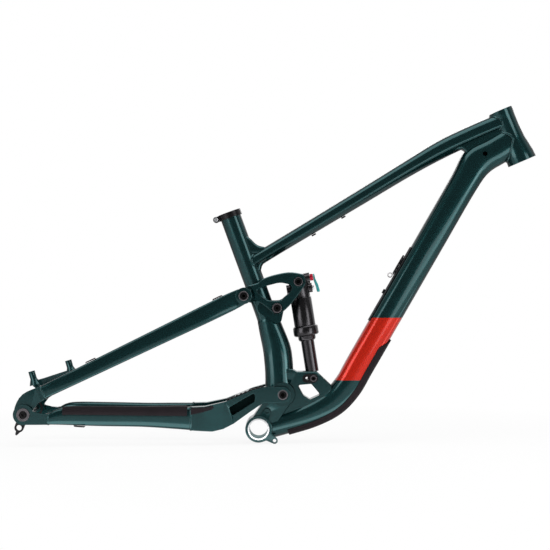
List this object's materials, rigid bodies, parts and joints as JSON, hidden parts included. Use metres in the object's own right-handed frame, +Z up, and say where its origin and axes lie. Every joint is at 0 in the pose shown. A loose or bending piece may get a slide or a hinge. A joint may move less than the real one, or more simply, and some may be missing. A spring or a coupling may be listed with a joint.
{
  "type": "full-suspension bicycle frame",
  "caption": "Full-suspension mountain bike frame with a rocker link, a swingarm that pivots at the axle, an inline air shock and a storage hatch in the down tube",
  "frame": {"origin": "centre of the bottom bracket shell, on the bike's centre plane", "axes": "+X forward, +Y to the bike's left, +Z up"},
  "size_m": [0.9801, 0.191, 0.6397],
  "materials": {
    "frame_paint": "deep green metallic gloss paint, with a plain red band on the down tube",
    "black_metal": "black anodised aluminium",
    "guard_rubber": "matt black moulded rubber",
    "hatch_plastic": "satin black moulded plastic",
    "bare_steel": "bare machined metal",
    "red_anodised": "red anodised aluminium",
    "teal_anodised": "teal anodised aluminium"
  },
  "bodies": {
    "front_triangle": {"head_tube": "frame_paint", "top_tube": "frame_paint", "down_tube": "frame_paint", "seat_tube": "frame_paint", "bb_shell": "frame_paint", "pivot_housing": "frame_paint", "rocker_boss": "frame_paint", "shock_mount": "frame_paint", "flip_chips": "black_metal", "shock_lower_bolt": "black_metal", "seat_clamp": "black_metal", "seat_clamp_bolt": "bare_steel", "down_tube_guard": "guard_rubber", "accessory_bolts": "black_metal", "main_pivot_bearings": "bare_steel", "rocker_pivot_axle": "bare_steel", "rocker_pivot_bolts": "black_metal"},
    "hatch": {"storage_door": "hatch_plastic", "bottle_bolts": "black_metal"},
    "hatch_latch": {"storage_latch": "hatch_plastic"},
    "swingarm": {"main_pivot_axle": "bare_steel", "main_pivot_bolts": "black_metal", "chainstay_yoke": "frame_paint", "chainstay_right": "frame_paint", "chainstay_left": "frame_paint", "chainstay_guard": "guard_rubber", "yoke_guard": "guard_rubber", "chain_cable_guide": "guard_rubber", "chainstay_dropout_right": "frame_paint", "chainstay_dropout_left": "frame_paint", "derailleur_hanger": "black_metal", "hanger_bolt": "black_metal"},
    "rear_axle": {"thru_axle": "black_metal"},
    "seatstays": {"seatstay_right": "frame_paint", "seatstay_left": "frame_paint", "seatstay_bridge": "frame_paint", "seatstay_dropout_right": "frame_paint", "seatstay_dropout_left": "frame_paint", "stay_cable_guides": "guard_rubber", "axle_pivot_bearings": "black_metal", "seatstay_pivot_bolts": "black_metal"},
    "rocker": {"rocker_link": "frame_paint", "rocker_bearings": "bare_steel"},
    "shock_body": {"shock_head": "black_metal", "trunnion_bolts": "black_metal", "shock_air_can": "black_metal", "shock_collar": "black_metal", "air_valve_cap": "bare_steel"},
    "shock_rod": {"shock_shaft": "black_metal", "shock_eyelet": "black_metal"},
    "rebound_dial": {"rebound_knob": "red_anodised"},
    "lockout": {"compression_lever": "teal_anodised"}
  },
  "joints": [
    {"name": "main_pivot", "type": "hinge", "parent": "front_triangle", "child": "swingarm", "pos_m": [0.0456, 0, 0.0655], "axis": [0, 1, 0], "range_deg": [0, 14]},
    {"name": "axle_pivot", "type": "hinge", "parent": "swingarm", "child": "seatstays", "pos_m": [-0.43464, 0, 0.0318], "axis": [0, 1, 0], "range_deg": [-3.9, 0]},
    {"name": "rocker_pivot", "type": "hinge", "parent": "front_triangle", "child": "rocker", "pos_m": [0.035, 0, 0.228], "axis": [0, 1, 0], "range_deg": [0, 48.46]},
    {"name": "shock_upper_pivot", "type": "hinge", "parent": "rocker", "child": "shock_body", "pos_m": [0.075, 0, 0.278], "axis": [0, 1, 0], "range_deg": [-40.5, 0]},
    {"name": "shock_stroke", "type": "slide", "parent": "shock_body", "child": "shock_rod", "axis": [-0.1544, 0, 0.988], "range_m": [0, 0.0478]},
    {"name": "rebound_turn", "type": "hinge", "parent": "shock_body", "child": "rebound_dial", "pos_m": [0.1035, 0, 0.2867], "axis": [0.988, 0, 0.1544], "range_deg": [0, 300]},
    {"name": "lockout_turn", "type": "hinge", "parent": "shock_body", "child": "lockout", "pos_m": [0.1035, 0, 0.2867], "axis": [0.988, 0, 0.1544], "range_deg": [0, 80]},
    {"name": "axle_pull", "type": "slide", "parent": "swingarm", "child": "rear_axle", "axis": [0, 1, 0], "range_m": [0, 0.19]},
    {"name": "hatch_lift", "type": "slide", "parent": "front_triangle", "child": "hatch", "axis": [-0.8666, 0, 0.4991], "range_m": [0, 0.06]},
    {"name": "latch_swing", "type": "hinge", "parent": "hatch", "child": "hatch_latch", "pos_m": [0.27482, 0, 0.32659], "axis": [0, 1, 0], "range_deg": [0, 100]}
  ],
  "couplings": [
    {"joint": "axle_pivot", "follows": "main_pivot", "ratio": -0.2772},
    {"joint": "rocker_pivot", "follows": "main_pivot", "ratio": 3.46},
    {"joint": "shock_upper_pivot", "follows": "main_pivot", "ratio": -2.8912},
    {"joint": "shock_stroke", "follows": "main_pivot", "m_per_rad": 0.1954}
  ]
}
